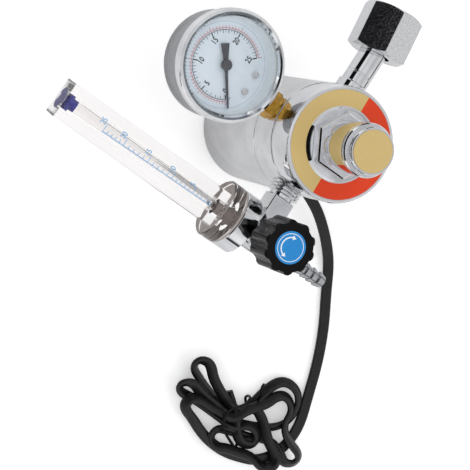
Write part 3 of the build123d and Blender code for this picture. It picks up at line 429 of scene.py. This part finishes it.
# A flat twin flex, in mm but for its length in metres. It leaves the body flat and leans towards its
# edge in the hank. Up to "flatUntil" of its length it is flat, and from "edgeFrom" on it leans fully.
cord = {
    "width": 6.8, "thickness": 3.4, "sides": 20, "length": 0.885, "lean": 46.0, "resolution": 6,
    "spacing": 0.8, "squareness": (0.6, 0.7), "grooveShadeLine": 0.12, "grooveReach": 0.22,
    "route": [
        (-14.2, -43.7, 14), (-17.9, -55.2, 13.6), (-24.7, -68.3, 10.2), (-32.3, -80.6, 5.2),
        (-41, -90.5, 1.9), (-55.5, -98.8, 1.9), (-74, -110.5, 1.9), (-94, -119.8, 1.9),
        (-114.8, -126.5, 2.2), (-132.6, -132, 3), (-147.3, -130.6, 3.4), (-157.3, -125.5, 4.2),
        (-164.3, -118.2, 4.2), (-167.6, -108.4, 4.2), (-170, -98, 4.2), (-169.9, -86.9, 4.2),
        (-167.5, -76.3, 4.2), (-163.5, -67, 4.5), (-161.6, -59.7, 5.6), (-158.1, -56.3, 7.3),
        (-153.4, -57.3, 9.3), (-151.2, -61.9, 10), (-151.7, -69.3, 9.5), (-151.3, -78.5, 9.5),
        (-150.9, -87.8, 9.5), (-143.3, -91.2, 9.5), (-137.3, -97.1, 8.5), (-131.7, -102.5, 7.5),
        (-125.7, -105, 7), (-121.9, -109.6, 7), (-123.3, -115.9, 7), (-128.2, -119.9, 7),
        (-135.2, -119.8, 7.5), (-140.6, -122.6, 8), (-144.2, -130.1, 8), (-146.6, -138.9, 8.2),
        (-150.9, -141.5, 6.7), (-155.1, -139.5, 4.4), (-156.1, -134.6, 4.2), (-152.3, -129.1, 4.2),
        (-149.9, -120.8, 4.2), (-151.2, -113.5, 4.2), (-154.6, -106.3, 4.2), (-156.5, -97.8, 4.3),
        (-158.6, -89.9, 5.5), (-159.9, -84.9, 5.9), (-164.2, -82.1, 6.6), (-169, -83.9, 7.2),
        (-170.6, -88.8, 7.2), (-167.6, -95.8, 6.5), (-165.8, -103.9, 7), (-163.6, -112.5, 7.5),
        (-166, -121.5, 8), (-164.4, -126.4, 8.6), (-159.6, -128.1, 9.3), (-155.2, -125.3, 9.6),
        (-150.8, -115.9, 9.3), (-144.8, -108.8, 9.3), (-140.8, -103.5, 8.9), (-138.9, -99.7, 8.1),
        (-138.9, -97, 7.3), (-140.4, -94.7, 6.6), (-142.7, -92.2, 6.3), (-145.2, -88.7, 6.7),
        (-145, -81.9, 7.5), (-141.8, -72.4, 8.5), (-137, -62.1, 9.3), (-131.3, -55.7, 10.7),
        (-131, -50.8, 9.3), (-134.4, -48.2, 6.3), (-138.3, -50.1, 4.5), (-140, -53.4, 4.5),
        (-143.1, -61.3, 4.2), (-146.1, -70.7, 4.2), (-148.9, -80.5, 4.2), (-148.4, -89.8, 4.2),
        (-142, -94.9, 4.2), (-132.8, -97.2, 4.2), (-123.7, -99.2, 4.5), (-116.2, -103, 5.5),
        (-114, -109.5, 6), (-115.6, -116.6, 5.7), (-120.5, -121.7, 5), (-128.1, -123.7, 4.5),
        (-135.6, -122, 4.2), (-141.3, -117.2, 4.2), (-145.3, -110.2, 4.2), (-148.2, -102.6, 4.2),
        (-151.2, -94.7, 4.5), (-151.1, -84, 6.5), (-149.4, -71.7, 8), (-148, -59.2, 9),
        (-145.9, -52.6, 10.8), (-148, -48.3, 8.8), (-151.8, -47.8, 5.4), (-154.4, -51.6, 4.2),
        (-153.4, -59.2, 4.2), (-153.5, -68.8, 4.2), (-154.2, -81.2, 4.2), (-154.8, -92.8, 5.5),
        (-149.5, -97, 8.5), (-148.2, -103.6, 9.3), (-152.2, -109.2, 9), (-158.5, -108.6, 8),
        (-160.3, -102.3, 7), (-156.9, -96.1, 6.5), (-150.7, -90.9, 6.5), (-144.6, -84.4, 6),
        (-138.8, -76.5, 5.5),
    ],
    "flatUntil": 0.10, "edgeFrom": 0.17,
}


def splinePoints(name, route, resolution, spacing):
    curve = bpy.data.curves.new(name, "CURVE")
    curve.dimensions = "3D"
    spline = curve.splines.new("NURBS")
    spline.points.add(len(route) - 1)
    for point, place in zip(spline.points, route):
        point.co = (*(Vector(place) * mm), 1.0)
    spline.order_u = 3
    spline.use_endpoint_u = True
    spline.resolution_u = resolution
    line = bpy.data.objects.new(name, curve)
    bpy.context.scene.collection.objects.link(line)
    mesh = bpy.data.meshes.new_from_object(line)
    points = [mesh.vertices[0].co.copy()]
    for vertex in mesh.vertices:
        if (vertex.co - points[-1]).length > spacing * mm:
            points.append(vertex.co.copy())
    bpy.data.objects.remove(line)
    bpy.data.meshes.remove(mesh)
    return points


def squared(value, power):
    return math.copysign(abs(value) ** power, value)


def flexProfile(settings):
    half = settings["width"] / 2 * mm
    core = settings["thickness"] / 2 * mm
    acrossPower, thickPower = settings["squareness"]
    outline = []
    for step in range(settings["sides"]):
        angle = 2 * math.pi * step / settings["sides"]
        across = half * squared(math.cos(angle), acrossPower)
        waist = 1.0 - settings["grooveShadeLine"] * math.exp(-((across / (settings["grooveReach"] * half)) ** 2))
        outline.append((across, core * waist * squared(math.sin(angle), thickPower)))
    return outline


def addFlex(settings):
    path = splinePoints("flexRoute", settings["route"], settings["resolution"], settings["spacing"])
    profile = flexProfile(settings)
    mesh = bmesh.new()
    rings = []
    last = len(path) - 1
    for index, place in enumerate(path):
        forward = (path[min(index + 1, last)] - path[max(index - 1, 0)]).normalized()
        level = forward.cross(Vector((0, 0, 1))).normalized()
        upward = level.cross(forward).normalized()
        share = (index / last - settings["flatUntil"]) / (settings["edgeFrom"] - settings["flatUntil"])
        tilt = math.radians(settings["lean"]) * min(max(share, 0.0), 1.0)
        wide = level * math.cos(tilt) + upward * math.sin(tilt)
        thin = forward.cross(wide)
        rings.append([mesh.verts.new(place + wide * a + thin * b) for a, b in profile])
    for before, after in zip(rings, rings[1:]):
        for side in range(len(profile)):
            following = (side + 1) % len(profile)
            mesh.faces.new((before[side], before[following], after[following], after[side]))
    mesh.faces.new(rings[0])
    mesh.faces.new(list(reversed(rings[-1])))
    bmesh.ops.recalc_face_normals(mesh, faces=mesh.faces)
    for face in mesh.faces:
        face.smooth = len(face.verts) == 4
    data = bpy.data.meshes.new("flexCord")
    mesh.to_mesh(data)
    mesh.free()
    piece = makePiece("flexCord", data, "vinylFlex", "body")
    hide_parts("cord_lead", "cord_hank")
    reach = sum((b - a).length for a, b in zip(path, path[1:]))
    print("flex length", round(reach, 3), "points", len(path))


addFlex(cord)


def tubeAlong(name, settings, material, body):
    curve = bpy.data.curves.new(name, "CURVE")
    curve.dimensions = "3D"
    curve.bevel_depth = settings["radius"] * mm
    curve.bevel_resolution = 3
    curve.use_fill_caps = True
    spline = curve.splines.new("NURBS")
    spline.points.add(len(settings["points"]) - 1)
    for point, place in zip(spline.points, settings["points"]):
        point.co = (*(Vector(place) * mm), 1.0)
    spline.order_u = 3
    spline.use_endpoint_u = True
    spline.resolution_u = 8
    line = bpy.data.objects.new(name, curve)
    bpy.context.scene.collection.objects.link(line)
    mesh = bpy.data.meshes.new_from_object(line)
    bpy.data.objects.remove(line)
    return makePiece(name, mesh, material, body)


# The tie's wire, from its loose end down under the strands and once round them
tie = {
    "radius": 0.85,
    "points": [
        (-123.5, -89.1, 17.0), (-125.5, -89.0, 16.0), (-128.1, -91.9, 13.0), (-131.0, -95.8, 8.0),
        (-134.8, -97.6, 3.0), (-139.6, -95.1, 1.2), (-136.0, -90.5, 1.4), (-133.9, -89.6, 6.0),
        (-134.6, -88.6, 12.4), (-138.5, -87.4, 14.3), (-141.7, -85.4, 14.4), (-145.3, -81.6, 14.2),
        (-148.3, -80.0, 14.1), (-151.5, -80.0, 13.7), (-154.5, -81.3, 13.1), (-157.6, -83.6, 12.3),
        (-160.8, -88.2, 10.6), (-163.0, -95.6, 7.4), (-165.0, -102.2, 3.8), (-162.5, -103.6, 0.9),
        (-151.0, -98.5, 0.8),
    ],
}
twist = tubeAlong("twistTie", tie, "blackTieWire", "body")
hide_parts("cord_tie")
print("cord and tie")


printThickness = 0.02  # mm, of every scale and mark


def addStrokes(name, strokes, material, body):
    mesh = bmesh.new()
    for corners in strokes:
        lower = [mesh.verts.new(Vector(c) * mm) for c in corners]
        face = mesh.faces.new(lower)
        face.normal_update()
        if face.normal.z < 0:
            face.normal_flip()
        lift = bmesh.ops.extrude_face_region(mesh, geom=[face])
        raised = [v for v in lift["geom"] if isinstance(v, bmesh.types.BMVert)]
        bmesh.ops.translate(mesh, verts=raised, vec=(0, 0, printThickness * mm))
    bmesh.ops.recalc_face_normals(mesh, faces=mesh.faces)
    data = bpy.data.meshes.new(name)
    mesh.to_mesh(data)
    mesh.free()
    return makePiece(name, data, material, body)


def radialMark(centre, height, angle, inner, outer, width):
    way = Vector((math.sin(math.radians(angle)), math.cos(math.radians(angle)), 0))
    side = Vector((way.y, -way.x, 0)) * width / 2
    middle = Vector((*centre, height))
    return [middle + way * inner - side, middle + way * outer - side,
            middle + way * outer + side, middle + way * inner + side]


def arcMarks(centre, height, radius, width, start, stop, steps):
    pieces = []
    for step in range(steps):
        corners = []
        for share, reach in ((step, -1), (step, 1), (step + 1, 1), (step + 1, -1)):
            angle = math.radians(start + (stop - start) * share / steps)
            spot = radius + reach * width / 2
            corners.append((centre[0] + spot * math.sin(angle), centre[1] + spot * math.cos(angle), height))
        pieces.append(corners)
    return pieces


# Half the height that a figure's ink stands, and how narrow its type is, as a share of its height
figureType = {"ink": 0.012, "condense": 0.78, "curveSteps": 3}


def addFigures(name, figures, size, weight, material, pose=None):
    whole = bmesh.new()
    narrow = Matrix.Scale(figureType["condense"], 4, (1, 0, 0))
    for text, place in figures:
        letters = bpy.data.curves.new("figure", "FONT")
        letters.body = text
        letters.size = size * mm
        letters.align_x = "CENTER"
        letters.align_y = "CENTER"
        letters.extrude = figureType["ink"] * mm
        letters.offset = weight * mm
        letters.resolution_u = figureType["curveSteps"]
        figure = bpy.data.objects.new("figure", letters)
        bpy.context.scene.collection.objects.link(figure)
        mesh = bpy.data.meshes.new_from_object(figure)
        turned = pose or Matrix.Identity(4)
        mesh.transform(Matrix.Translation(Vector(place) * mm) @ turned @ narrow)
        whole.from_mesh(mesh)
        bpy.data.objects.remove(figure)
    data = bpy.data.meshes.new(name)
    whole.to_mesh(data)
    whole.free()
    return makePiece(name, data, material, "body")


# "lines" holds the angle of each numbered line, from straight up. A tick is its length and its width.
dial = {
    "centre": (0.0, 73.5), "height": 100.12, "lines": [-126.0, -78.4, -25.5, 29.7, 82.5, 134.8],
    "perLine": 5, "arcSteps": 60, "scaleRadius": 18.4, "scaleLine": 0.3,
    "longTick": (2.6, 0.6), "unitTick": (1.9, 0.3), "halfTick": (1.1, 0.26),
    "figureRadius": 13.7, "figureSize": 4.5, "figureWeight": 0.1,
    "redRadius": 19.25, "redLine": 0.28, "redLong": 2.1, "redShort": 1.3, "redWidth": 0.24,
    "ringRadius": 22.8, "ringLine": 0.22, "ringSteps": 90,
}


def dialAngle(settings, value):
    lines = settings["lines"]
    share = value / settings["perLine"]
    index = min(int(share), len(lines) - 2)
    return lines[index] + (lines[index + 1] - lines[index]) * (share - index)


def addDial(settings):
    centre, height = settings["centre"], settings["height"]
    first, final = settings["lines"][0], settings["lines"][-1]
    inner, outer = settings["scaleRadius"], settings["redRadius"]
    black = arcMarks(centre, height, inner, settings["scaleLine"], first, final, settings["arcSteps"])
    red = arcMarks(centre, height, outer, settings["redLine"], first, final, settings["arcSteps"])
    halves = 2 * settings["perLine"]
    for step in range(halves * (len(settings["lines"]) - 1) + 1):
        angle = dialAngle(settings, step / 2)
        numbered = step % halves == 0
        tick = "longTick" if numbered else "unitTick" if step % 2 == 0 else "halfTick"
        long, wide = settings[tick]
        black.append(radialMark(centre, height, angle, inner - long, inner, wide))
        long = settings["redLong"] if numbered else settings["redShort"]
        red.append(radialMark(centre, height, angle, outer, outer + long, settings["redWidth"]))
    addStrokes("dialScale", black, "blackEnamel", "body")
    addStrokes("dialOuterScale", red, "redEnamelInk", "body")
    # The grey ring line is painted shade for the groove at the dial's edge
    grooveShadeLine = arcMarks(
        centre, height, settings["ringRadius"], settings["ringLine"], 0, 360, settings["ringSteps"]
    )
    addStrokes("dialRingLine", grooveShadeLine, "greyGrooveShade", "body")
    figures = []
    spot = settings["figureRadius"]
    for index, line in enumerate(settings["lines"]):
        angle = math.radians(line)
        place = (
            centre[0] + spot * math.sin(angle), centre[1] + spot * math.cos(angle),
            height + figureType["ink"],
        )
        figures.append((str(settings["perLine"] * index), place))
    addFigures(
        "dialFigures", figures, settings["figureSize"], settings["figureWeight"], "blackEnamel"
    )


addDial(dial)

# The scale lies on the tube's front face, which is turned about the tube's axis and tapers to its tip
tubeScale = {
    "axis": (-62.5, 88.5), "turn": 8.0, "rootY": 29.6, "tipY": 134.5, "rootHalf": 9.2, "tipHalf": 8.8,
    "line": ((-0.9, 36.2), (-1.8, 109.0)), "lineHalf": 0.24, "lift": 0.03,
    "ticks": [35.0, 48.4, 62.7, 79.0, 95.2, 108.6], "perTick": 5, "longTick": 4.2, "shortTick": 1.9,
    "tickHalf": 0.18, "figureAcross": 3.1, "figureLift": 2.5, "size": 4.6, "weight": 0.06,
}


def addTubeScale(settings):
    turn = math.radians(settings["turn"])
    across = Vector((math.cos(turn), 0, math.sin(turn)))
    outward = Vector((-math.sin(turn), 0, math.cos(turn)))
    middle = Vector((settings["axis"][0], 0, settings["axis"][1]))

    def spot(side, y, lift=settings["lift"]):
        share = (y - settings["rootY"]) / (settings["tipY"] - settings["rootY"])
        half = settings["rootHalf"] + (settings["tipHalf"] - settings["rootHalf"]) * share
        return middle + Vector((0, y, 0)) + across * side + outward * (half + lift)

    def mark(x0, x1, y0, y1):
        return [spot(x0, y0), spot(x1, y0), spot(x1, y1), spot(x0, y1)]

    (rootX, rootY), (tipX, tipY) = settings["line"]

    def lineX(y):
        return rootX + (tipX - rootX) * (y - rootY) / (tipY - rootY)

    thick, thin = settings["lineHalf"], settings["tickHalf"]
    strokes = [[
        spot(rootX - thick, rootY), spot(rootX + thick, rootY),
        spot(tipX + thick, tipY), spot(tipX - thick, tipY),
    ]]
    ticks, parts = settings["ticks"], settings["perTick"]
    for low, high in zip(ticks, ticks[1:]):
        for step in range(1, parts + 1):
            y = low + (high - low) * step / parts
            long = settings["longTick"] if step == parts else settings["shortTick"]
            strokes.append(mark(lineX(y), lineX(y) + long, y - thin, y + thin))
    addStrokes("tubeScale", strokes, "blueScaleInk", "body")
    # The figures lie in that face, so they lean with its turn and its taper
    slope = math.atan2(settings["tipHalf"] - settings["rootHalf"], settings["tipY"] - settings["rootY"])
    pose = Matrix.Rotation(-turn, 4, "Y") @ Matrix.Rotation(slope, 4, "X")
    figures = []
    for index, y in enumerate(ticks[1:]):
        raised = y + settings["figureLift"]
        place = spot(settings["figureAcross"], raised, settings["lift"] + figureType["ink"])
        figures.append((str(parts * (index + 1)), place))
    addFigures(
        "tubeFigures", figures, settings["size"], settings["weight"], "blueScaleInk", pose
    )


addTubeScale(tubeScale)

# A ring, and inside it an arc with an arrow head at each end: the knob turns both ways
knobMarks = {
    "centre": (-62.5, 0.0), "height": 133.01, "ring": 7.4, "ringLine": 0.35, "ringSteps": 60,
    "arc": 5.4, "arcLine": 0.7, "arcReach": 70, "arcSteps": 24, "headHalf": 1.3, "headAngle": 22,
}


def addKnobMarks(settings):
    centre, height = settings["centre"], settings["height"]
    spot, half, reach = settings["arc"], settings["headHalf"], settings["arcReach"]

    def onRing(radius, angle):
        return (centre[0] + radius * math.sin(angle), centre[1] + radius * math.cos(angle), height)

    marks = arcMarks(centre, height, settings["ring"], settings["ringLine"], 0, 360, settings["ringSteps"])
    marks += arcMarks(centre, height, spot, settings["arcLine"], -reach, reach, settings["arcSteps"])
    for way in (-1, 1):
        root = math.radians(way * reach)
        tip = math.radians(way * (reach + settings["headAngle"]))
        marks.append([onRing(spot - half, root), onRing(spot + half, root), onRing(spot, tip)])
    addStrokes("knobMarks", marks, "whiteInk", "knob")


addKnobMarks(knobMarks)
print("scales and marks")


# A matt white floor, its size in metres. What the camera sees of it, also through the tube, is
# lifted to plain white.
ground = {
    "size": 3.0, "sink": 0.4, "roughness": (0.55, 0.7), "grain": 125.0, "bump": 0.0,
    "grey": 0.9, "specular": 0.1, "lift": 0.35,
}


def addFloor(settings):
    mesh = bmesh.new()
    bmesh.ops.create_grid(mesh, x_segments=1, y_segments=1, size=settings["size"])
    data = bpy.data.meshes.new("floor")
    mesh.to_mesh(data)
    mesh.free()
    floor = bpy.data.objects.new("floor", data)
    floor.location.z = -settings["sink"] * mm
    bpy.context.scene.collection.objects.link(floor)
    material, tree, shader, place = startMaterial("matteFloor")
    addSurface(tree, shader, place, settings)
    shader.inputs["Base Color"].default_value = (settings["grey"],) * 3 + (1.0,)
    shader.inputs["Specular IOR Level"].default_value = settings["specular"]
    rays = addNode(tree, "ShaderNodeLightPath").outputs
    seen = addNode(
        tree, "ShaderNodeMath", {0: rays["Is Camera Ray"], 1: rays["Is Transmission Ray"]},
        operation="ADD", use_clamp=True,
    ).outputs["Value"]
    lift = addNode(tree, "ShaderNodeMath", {0: seen, 1: settings["lift"]}, operation="MULTIPLY")
    tree.links.new(lift.outputs["Value"], shader.inputs["Emission Strength"])
    shader.inputs["Emission Color"].default_value = (1.0, 1.0, 1.0, 1.0)
    floor.data.materials.append(material)


addFloor(ground)

# Weak lamps for the shadows, in metres and watts. The sky gives most of the light and all that the
# chrome mirrors.
lights = [
    {"name": "keyLight", "place": (-0.7, 0.9, 1.5), "size": 1.1, "power": 7.0},
    {"name": "fillLight", "place": (1.2, 0.3, 1.0), "size": 0.8, "power": 2.5},
    {"name": "backLight", "place": (0.1, -1.2, 1.1), "size": 0.9, "power": 3.5},
]
lampAim = Vector((0, 0, 0.06))
for settings in lights:
    data = bpy.data.lights.new(settings["name"], "AREA")
    data.size = settings["size"]
    data.energy = settings["power"]
    lamp = bpy.data.objects.new(settings["name"], data)
    lamp.location = settings["place"]
    lamp.visible_glossy = False
    aim = lampAim - Vector(settings["place"])
    lamp.rotation_euler = aim.to_track_quat("-Z", "Y").to_euler()
    bpy.context.scene.collection.objects.link(lamp)

# "climb" runs from straight down to straight up, with a dark band just above the horizon. The card is
# one dark rectangle, in degrees round and up, with its half sizes as shares of the distance.
sky = {
    "strength": 1.0, "brightSide": (-0.58, 0.81, 0.0), "sides": (0.72, 1.16),
    "climb": [
        (0.0, "#FFFFFF"), (0.52, "#F4F4F4"), (0.55, "#1C1C1E"), (0.6, "#3A3B3D"), (0.66, "#FFFFFF"),
        (0.78, "#FFFFFF"), (0.84, "#F0F0F1"), (0.9, "#E2E3E5"), (0.95, "#D2D3D7"), (1.0, "#F0F0F2"),
    ],
    "cardAzimuth": 110.0, "cardHeight": 27.0, "cardWide": 0.7, "cardTall": 0.24, "cardSoft": 0.05,
    "cardColour": "#101012",
}


def addSky(settings):
    world = bpy.data.worlds.new("studio")
    world.use_nodes = True
    tree = world.node_tree
    tree.nodes.clear()
    way = addNode(tree, "ShaderNodeTexCoord").outputs["Generated"]

    def along(direction):
        return addNode(
            tree, "ShaderNodeVectorMath", {0: way, 1: tuple(direction)}, operation="DOT_PRODUCT"
        ).outputs["Value"]

    def both(first, second):
        return addNode(tree, "ShaderNodeMath", {0: first, 1: second}, operation="MULTIPLY").outputs["Value"]

    climb = addNode(tree, "ShaderNodeSeparateXYZ", {"Vector": way}).outputs["Z"]
    climb = addNode(
        tree, "ShaderNodeMapRange", {"Value": climb, "From Min": -1.0, "From Max": 1.0}
    ).outputs["Result"]
    glow = addRamp(tree, climb, settings["climb"])
    low, high = settings["sides"]
    sideways = addNode(tree, "ShaderNodeMapRange", {
        "Value": along(settings["brightSide"]), "From Min": -1.0, "From Max": 1.0,
        "To Min": low, "To Max": high,
    }).outputs["Result"]
    azimuth, height = math.radians(settings["cardAzimuth"]), math.radians(settings["cardHeight"])
    facing = Vector((
        math.cos(azimuth) * math.cos(height), math.sin(azimuth) * math.cos(height), math.sin(height),
    ))
    level = Vector((-math.sin(azimuth), math.cos(azimuth), 0.0))
    masks = []
    for direction, reach in ((level, settings["cardWide"]), (facing.cross(level), settings["cardTall"])):
        off = addNode(tree, "ShaderNodeMath", {0: along(direction)}, operation="ABSOLUTE").outputs["Value"]
        masks.append(addNode(tree, "ShaderNodeMapRange", {
            "Value": off, "From Min": reach, "From Max": reach + settings["cardSoft"],
            "To Min": 1.0, "To Max": 0.0,
        }).outputs["Result"])
    ahead = addNode(
        tree, "ShaderNodeMath", {0: along(facing), 1: 0.0}, operation="GREATER_THAN"
    ).outputs["Value"]
    card = both(both(masks[0], masks[1]), ahead)
    glow = addNode(
        tree, "ShaderNodeMix", {"Factor": card, 6: glow, 7: linear(settings["cardColour"])}, data_type="RGBA"
    ).outputs[2]
    power = both(sideways, settings["strength"])
    background = addNode(tree, "ShaderNodeBackground", {"Color": glow, "Strength": power})
    addNode(tree, "ShaderNodeOutputWorld", {"Surface": background.outputs["Background"]})
    bpy.context.scene.world = world


addSky(sky)
bpy.context.scene.view_settings.view_transform = "Standard"
print("stage")
